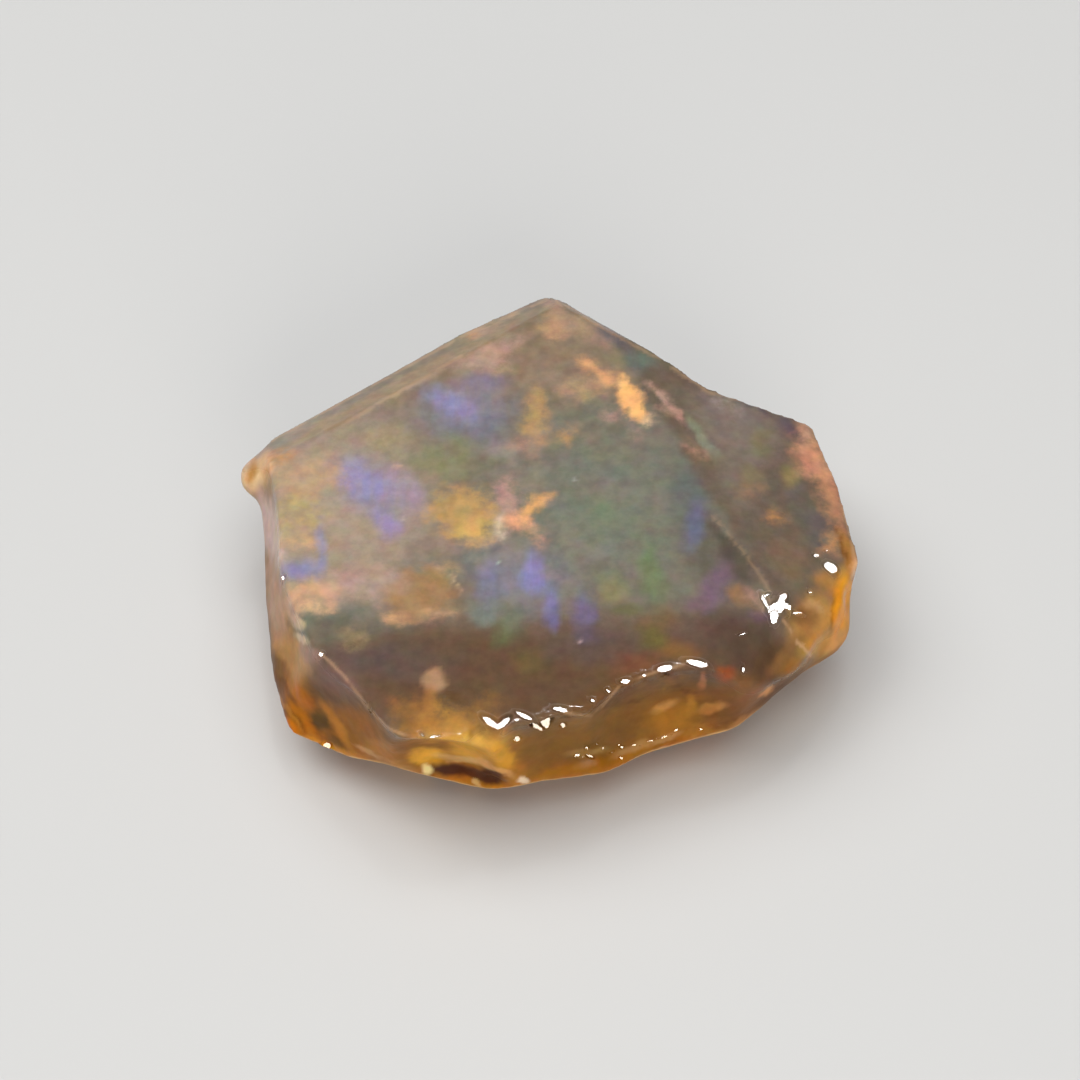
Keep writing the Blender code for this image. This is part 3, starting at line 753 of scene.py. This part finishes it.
def patch_reach(places, patch):
    """Each point's distance from a patch's middle, and the part of the way to its outline."""
    marked = isinstance(patch, Mark)
    middle = (patch.x, -patch.y) if marked else (patch.x, patch.y)
    size = PIXEL if marked else 1.0
    turn = math.radians(patch.turn)
    x, y = (places[type(patch)] - middle).T
    along = (x * math.cos(turn) + y * math.sin(turn)) / patch.long
    across = (y * math.cos(turn) - x * math.sin(turn)) / patch.wide
    return np.hypot(x, y) * size, np.hypot(along, across)


def patch_share(places, patch):
    _, reach = patch_reach(places, patch)
    inside, outside = PATCH_RIM
    return patch.strength * (1 - smoothstep(1 - inside * patch.soft, 1 + outside * patch.soft, reach))


def cloud_share(places, patch, tatters):
    """A patch with tattered edges that are equally wide on large and small patches."""
    away, reach = patch_reach(places, patch)
    beyond = away - away / np.maximum(reach, TINY) + tatters
    inside, outside = CLOUD_RIM
    return 1 - smoothstep(-inside * patch.soft, outside * patch.soft, beyond)


def layered(colour, patches, places, limit=1.0):
    """The colours with soft patches laid over them, one after another."""
    for patch in patches.values():
        colour = mixed(patch_share(places, patch) * limit, colour, linear(patch.colour))
    return colour


def wandering(points, reach, size, seed):
    """The points moved about a little, so that what is laid by them has a natural outline."""
    drift = [lumps(points, size, octaves=3, seed=seed + step) for step in range(3)]
    return points + np.stack(drift, axis=1) * reach


def mixed(share, first, second):
    share = share[:, None]
    return first * (1 - share) + second * share


def wall_colours(points):
    """Brown under the upper edges, and amber towards the foot, partly a painted glow, with cloudy streaks
    in it.
    """
    streaks = lumps(points * (1.0, 1.0, 2.2), size=1.3, octaves=4, seed=21)
    billows = lumps(points, size=1.0, octaves=4, seed=22)
    height = points[:, 2]
    colour = np.tile(linear(WALL), (len(points), 1))
    colour = mixed(smoothstep(*HEAD_HEIGHTS, height), colour, linear(WALL_HEAD))
    colour = mixed(1 - smoothstep(*FOOT_HEIGHTS, height), colour, linear(WALL_FOOT_AND_GLOW))
    colour = mixed(smoothstep(0.15, 0.7, streaks) * STREAKS, colour, linear(WALL_DARK))
    return mixed(smoothstep(0.1, 0.6, billows) * STREAKS, colour, linear(WALL_LIGHT))


def painted_rim_light_share(points, facing, towards_eye):
    """Painted rim light where the front walls turn under."""
    height = points[:, 2]
    share = smoothstep(*RIM_TURN, -facing[:, 2]) * smoothstep(*RIM_START, height)
    return share * (1 - smoothstep(*RIM_FACING, towards_eye)) * (1 - smoothstep(*RIM_END, height))


def body_colours(points, facing, wall):
    """The stone's colours under the clouds and the play of colour, with painted rim light, glow, glints, a
    highlight and shade on the walls.
    """
    moved = wandering(points, reach=0.22, size=1.1, seed=11)
    places = both_ways(moved)
    top = layered(np.tile(linear(BODY), (len(points), 1)), TONES, places)
    facet = layered(np.tile(linear(FACET), (len(points), 1)), FACET_TONES, places)
    under = dict(zip(UPPER_BREAKS, break_depths(moved)))
    top = mixed(smoothstep(*CREASE, under["top"] - under["right_facet"]), top, facet)
    _, back = camera_place()
    towards_eye = facing @ np.array(back)
    shown = smoothstep(*MARK_FACING, towards_eye)
    places = both_ways(wandering(points, reach=0.08, size=0.5, seed=12))
    colour = layered(mixed(wall, top, wall_colours(points)), WALL_MARKS, places, shown)
    colour = mixed(wall, colour, colour * DEEPER)
    colour = layered(colour, BRIGHT_MARKS, places, shown)
    # Painted rim light where the walls turn under and face away from the camera.
    painted_rim_light = painted_rim_light_share(points, facing, towards_eye) * shown
    return mixed(painted_rim_light * PAINTED_RIM_LIGHT_STRENGTH, colour, linear(PAINTED_RIM_LIGHT))


def flashes(points):
    """The play of colour: its colour at each point, and its share."""
    places = both_ways(wandering(points, reach=0.18, size=0.9, seed=31))
    colour = np.tile(linear(BODY), (len(points), 1))
    left = np.ones(len(points))
    for flash in FLASHES.values():
        share = patch_share(places, flash)
        blend = (share / np.maximum(1 - left * (1 - share), TINY))[:, None]
        colour = colour * (1 - blend) + linear(flash.colour) * blend
        left = left * (1 - share)
    return colour, 1 - left


def clouds(points, behind):
    """The milky clouds: their colour at each point, and how far they cover what is behind them."""
    places = both_ways(wandering(points, reach=0.18, size=0.9, seed=41))
    tatters = 0.2 * lumps(points, size=0.7, octaves=5, seed=44)
    colour = behind * TINY
    weight = np.full(len(points), TINY)
    left = np.ones(len(points))
    for cloud in CLOUDS.values():
        share = cloud_share(places, cloud, tatters)
        pull = share ** 3 * cloud.strength
        colour = colour + linear(cloud.colour) * pull[:, None]
        weight += pull
        left = left * (1 - share * cloud.strength)
    return colour / weight[:, None], 1 - left


def painted_hairline_highlights(points):
    """Painted highlights: pale hairlines along the ridges and outlines, broken here and there."""
    places = in_photo(wandering(points, reach=0.03, size=0.5, seed=61))
    share = np.zeros(len(points))
    for corners, strength in HIGHLIGHT_HAIRLINES.values():
        for start, end in zip(np.array(corners), np.array(corners[1:])):
            way = end - start
            along = np.clip((places - start) @ way / (way @ way), 0, 1)
            away = np.linalg.norm(places - start - along[:, None] * way, axis=1)
            share = np.maximum(share, strength * (1 - smoothstep(*HAIRLINE, away)))
    unbroken = smoothstep(-0.6, 0.1, lumps(points, size=0.6, octaves=3, seed=62))
    return share * unbroken * smoothstep(*HAIRLINE_HEIGHTS, points[:, 2])


def add_layer(mesh, name, colours, share):
    """Stores a colour at each point, and a share beside it."""
    layer = mesh.attributes.new(name, "FLOAT_COLOR", "POINT")
    layer.data.foreach_set("color", np.c_[colours, share].astype(np.float32).ravel())


def veil_share(points):
    """The thin milkiness over the left and the back of the top."""
    milky = (1 - smoothstep(-2.0, 5.0, points[:, 0])) * smoothstep(-5.5, -3.5, points[:, 1])
    return 0.3 * smoothstep(-0.05, 0.5, lumps(points, size=1.3, octaves=4, seed=51)) * milky


def edge_highlight_share(surface):
    """The painted highlight along the sharp edges, except in front, and the painted highlight hairlines."""
    lit = smoothstep(-6.0, -4.0, surface.points[:, 1])
    sharp = smoothstep(0.003, 0.012, surface.bulge(2))
    return np.maximum(0.25 * sharp * lit, painted_hairline_highlights(surface.points))


def dull_share(points):
    """How dull the walls are. A flake's own scar is polished, with crushed ground round it."""
    reach = np.min([flake_reach(points, flake)[0] for flake in FLAKES.values()], axis=0)
    crushed = CRUSHED * (1 - smoothstep(*CRUSHED_REACH, reach))
    rough = np.maximum(smoothstep(*DULL_DEPTHS, depth_below(points)), crushed)
    return rough * smoothstep(1.0, 1.15, reach)


def paint(surface):
    """Stores each layer of colour on the mesh, for the material to finish."""
    mesh = surface.mesh
    points = surface.points
    facing = surface.blurred(surface.normals(), 3)
    wall = smoothstep(*WALL_DEPTHS, depth_below(points))
    body = body_colours(points, facing, wall)
    cloud, cloudy = clouds(points, body)
    flash, flashing = flashes(points)
    body = mixed(veil_share(points) * (1 - wall), body, linear(VEIL))
    # The painted edge highlight, kept in the layer named edge.
    edge = np.tile(linear(EDGE_HIGHLIGHT), (len(points), 1))
    add_layer(mesh, "body", body, wall)
    add_layer(mesh, "cloud", cloud, cloudy * (1 - wall))
    add_layer(mesh, "flash", flash, flashing * (1 - wall))
    add_layer(mesh, "edge", edge, edge_highlight_share(surface))
    add_layer(mesh, "dull", np.zeros_like(points), dull_share(points))


# Material

# The stone's refraction and gloss, its roughness where it is polished, and how much rougher its walls are.
REFRACTION = 1.4
GLOSS = 0.24
POLISH = (0.05, 0.16)
DULLER = 0.3

# The share of light that passes through, and what the walls add to it and the clouds take away.
CLEARNESS = 0.15
WALL_CLEARNESS = 0.1
CLOUDINESS = 0.1

# The share of light that scatters under the surface, and how far its red, green and blue go.
SCATTERING = 0.3
SCATTER_REACH = (1.0, 0.6, 0.35)
SCATTER_SCALE = 0.6

# What is left of the light inside the stone, and how soon.
AMBER = (0.88, 0.45, 0.05, 1)
AMBER_DENSITY = 700.0

# How strongly the clouds, the small change of hue and the painted edge highlights show.
CLOUD_STRENGTH = 0.97
HUE_STRENGTH = 0.22
EDGE_HIGHLIGHT_STRENGTH = 0.55


class Shading:
    """Short ways to add the nodes of one material and join them."""

    def __init__(self, name):
        self.material = bpy.data.materials.new(name)
        self.material.use_nodes = True
        self.tree = self.material.node_tree
        self.shader = self.tree.nodes["Principled BSDF"]

    def join(self, value, socket):
        if isinstance(value, bpy.types.NodeSocket):
            self.tree.links.new(value, socket)
        else:
            socket.default_value = value

    def node(self, kind, values, output=0, **settings):
        node = self.tree.nodes.new(kind)
        for name, setting in settings.items():
            setattr(node, name, setting)
        for name, value in values.items():
            self.join(value, node.inputs[name])
        return node.outputs[output]

    def layer(self, name):
        """The colours that the mesh holds under this name, and the share beside them."""
        layer = self.tree.nodes.new("ShaderNodeAttribute")
        layer.attribute_name = name
        return layer.outputs["Color"], layer.outputs["Alpha"]

    def calculate(self, operation, first, second=0.0, third=0.0):
        values = {0: first, 1: second, 2: third}
        return self.node("ShaderNodeMath", values, operation=operation)

    def noise(self, places, scale, detail=4.0, output="Fac", roughness=0.55):
        values = {"Vector": places, "Scale": scale, "Detail": detail, "Roughness": roughness}
        return self.node("ShaderNodeTexNoise", values, output)

    def ramp(self, value, low, high, start=0.0, end=1.0):
        values = {"Value": value, "From Min": low, "From Max": high, "To Min": start, "To Max": end}
        return self.node("ShaderNodeMapRange", values, interpolation_type="SMOOTHSTEP")

    def mixed(self, share, first, second, blend="MIX"):
        """Two colours mixed. The node's inputs 6 and 7 and its output 2 are those for colours."""
        values = {"Factor": share, 6: first, 7: second}
        return self.node("ShaderNodeMix", values, 2, data_type="RGBA", blend_type=blend)


def opal_material():
    look = Shading("fire_opal")
    shader = look.shader
    places = look.node("ShaderNodeTexCoord", {}, "Object")
    places = look.node("ShaderNodeMapping", {"Vector": places, "Scale": (1 / MM,) * 3})
    drawn_out = look.node("ShaderNodeMapping", {"Vector": places, "Scale": (3.2, 0.55, 0.8)})

    colour, wall = look.layer("body")
    flash_colour, flash = look.layer("flash")
    cloud_colour, cloud = look.layer("cloud")
    # The painted edge highlight's colour, and where it shows.
    edge_highlight_colour, edge = look.layer("edge")
    _, dull = look.layer("dull")

    stripes = look.noise(drawn_out, scale=1.0)
    flash = look.calculate("MULTIPLY", flash, look.ramp(stripes, 0.3, 0.65, start=0.7))
    colour = look.mixed(flash, colour, flash_colour)

    wisps = look.noise(places, scale=2.2, detail=6.0, roughness=0.65)
    wisps = look.ramp(wisps, 0.3, 0.7, start=-1.2, end=1.2)
    edges = look.calculate("MULTIPLY", cloud, look.calculate("SUBTRACT", 1.0, cloud))
    cloud = look.calculate("MULTIPLY_ADD", edges, wisps, cloud)
    colour = look.mixed(look.calculate("MULTIPLY", cloud, CLOUD_STRENGTH), colour, cloud_colour)

    hues = look.noise(places, scale=1.7, output="Color")
    colour = look.mixed(HUE_STRENGTH, colour, hues, "OVERLAY")
    grain = look.noise(places, scale=2.4, detail=5.0, roughness=0.6)
    colour = look.mixed(1.0, colour, look.ramp(grain, 0.3, 0.7, start=0.9, end=1.1), "MULTIPLY")
    # Lays the painted edge highlight over the colour.
    colour = look.mixed(look.calculate("MULTIPLY", edge, EDGE_HIGHLIGHT_STRENGTH), colour, edge_highlight_colour)

    clearness = look.calculate("MULTIPLY_ADD", wall, WALL_CLEARNESS, CLEARNESS)
    clearness = look.calculate("MULTIPLY_ADD", cloud, -CLOUDINESS, clearness)
    smears = look.noise(places, scale=1.3, detail=5.0)
    roughness = look.calculate("MULTIPLY_ADD", dull, DULLER, look.ramp(smears, 0.3, 0.8, *POLISH))

    look.join(colour, shader.inputs["Base Color"])
    look.join(clearness, shader.inputs["Transmission Weight"])
    look.join(roughness, shader.inputs["Roughness"])
    shader.inputs["IOR"].default_value = REFRACTION
    shader.inputs["Specular IOR Level"].default_value = GLOSS
    shader.inputs["Subsurface Weight"].default_value = SCATTERING
    shader.inputs["Subsurface Radius"].default_value = SCATTER_REACH
    shader.inputs["Subsurface Scale"].default_value = SCATTER_SCALE * MM
    volume = look.node("ShaderNodeVolumeAbsorption", {"Color": AMBER, "Density": AMBER_DENSITY})
    look.join(volume, look.tree.nodes["Material Output"].inputs["Volume"])
    return look.material


# Stone

def busy(surface):
    """The front walls, the sharp edges, the hairlines and the flakes, which need finer faces."""
    points = surface.points
    front = (points[:, 1] < FRONT) & (depth_below(points) > FRONT_DEPTH) & (points[:, 2] > FRONT_HEIGHT)
    worn = (surface.bulge(3) > 0.006) | (painted_hairline_highlights(points) > 0.05)
    return worn | front | near_flakes(points)


def opal():
    mesh = fine_copy(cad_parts["rough_opal"])
    surface = Surface(mesh)
    soften(surface)
    refine(mesh, busy(surface))
    surface = Surface(mesh)
    refine(mesh, near_flakes(surface.points))
    surface = Surface(mesh)
    weather(surface)
    break_flakes(surface)
    settle(surface, cad_box)
    surface.write()
    thin_out(mesh)
    surface = Surface(mesh)
    paint(surface)
    mesh.name = "fire_opal"
    mesh.transform(Matrix.Scale(MM, 4))
    mesh.shade_smooth()
    mesh.materials.clear()
    mesh.materials.append(opal_material())
    stone = bpy.data.objects.new("fire_opal", mesh)
    bpy.context.scene.collection.objects.link(stone)
    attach(stone, "root")
    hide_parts("rough_opal")


# Studio

# The floor's side in metres, its distance under the stone, its colour and roughness, and the light around.
FLOOR_SIDE = 2.0
FLOOR_GAP = 0.02
FLOOR_COLOUR = (0.56, 0.555, 0.54, 1)
FLOOR_ROUGHNESS = 0.6
WORLD_COLOUR = (0.9, 0.92, 0.95, 1)
WORLD_STRENGTH = 0.2


def floor():
    bpy.ops.mesh.primitive_plane_add(size=FLOOR_SIDE, location=(0, 0, -FLOOR_GAP * MM))
    sheet = bpy.context.active_object
    sheet.name = "floor"
    look = Shading("floor")
    look.shader.inputs["Base Color"].default_value = FLOOR_COLOUR
    look.shader.inputs["Roughness"].default_value = FLOOR_ROUGHNESS
    sheet.data.materials.append(look.material)


def area_light(name, place, width, power, colour=(1, 1, 1)):
    """A round lamp that faces the stone."""
    data = bpy.data.lights.new(name, "AREA")
    data.shape = "DISK"
    data.size = width * MM
    data.energy = power
    data.color = colour
    lamp = bpy.data.objects.new(name, data)
    lamp.location = Vector(place) * MM
    lamp.rotation_euler = Vector(place).to_track_quat("Z", "Y").to_euler()
    bpy.context.scene.collection.objects.link(lamp)
    return lamp


def studio():
    """Soft light with no reflections, and two small lamps that show in reflections alone."""
    world = bpy.data.worlds.new("studio")
    world.use_nodes = True
    background = world.node_tree.nodes["Background"]
    background.inputs["Color"].default_value = WORLD_COLOUR
    background.inputs["Strength"].default_value = WORLD_STRENGTH
    bpy.context.scene.world = world
    sky = area_light("sky", (0, 0, 420), width=520, power=1.5, colour=(0.97, 0.98, 1.0))
    key = area_light("key", (-180, 60, 300), width=260, power=0.55)
    fill = area_light("fill", (60, -330, 110), width=200, power=0.7, colour=(1.0, 0.96, 0.9))
    for soft in (sky, key, fill):
        soft.visible_glossy = False
    spark = area_light("spark", SPARK, width=36, power=0.42)
    front_spark = area_light("front_spark", FRONT_SPARK, width=36, power=0.24, colour=(1.0, 0.9, 0.75))
    for small in (spark, front_spark):
        small.visible_diffuse = False


floor()
opal()
studio()
camera()
bpy.context.scene.view_settings.view_transform = "Standard"
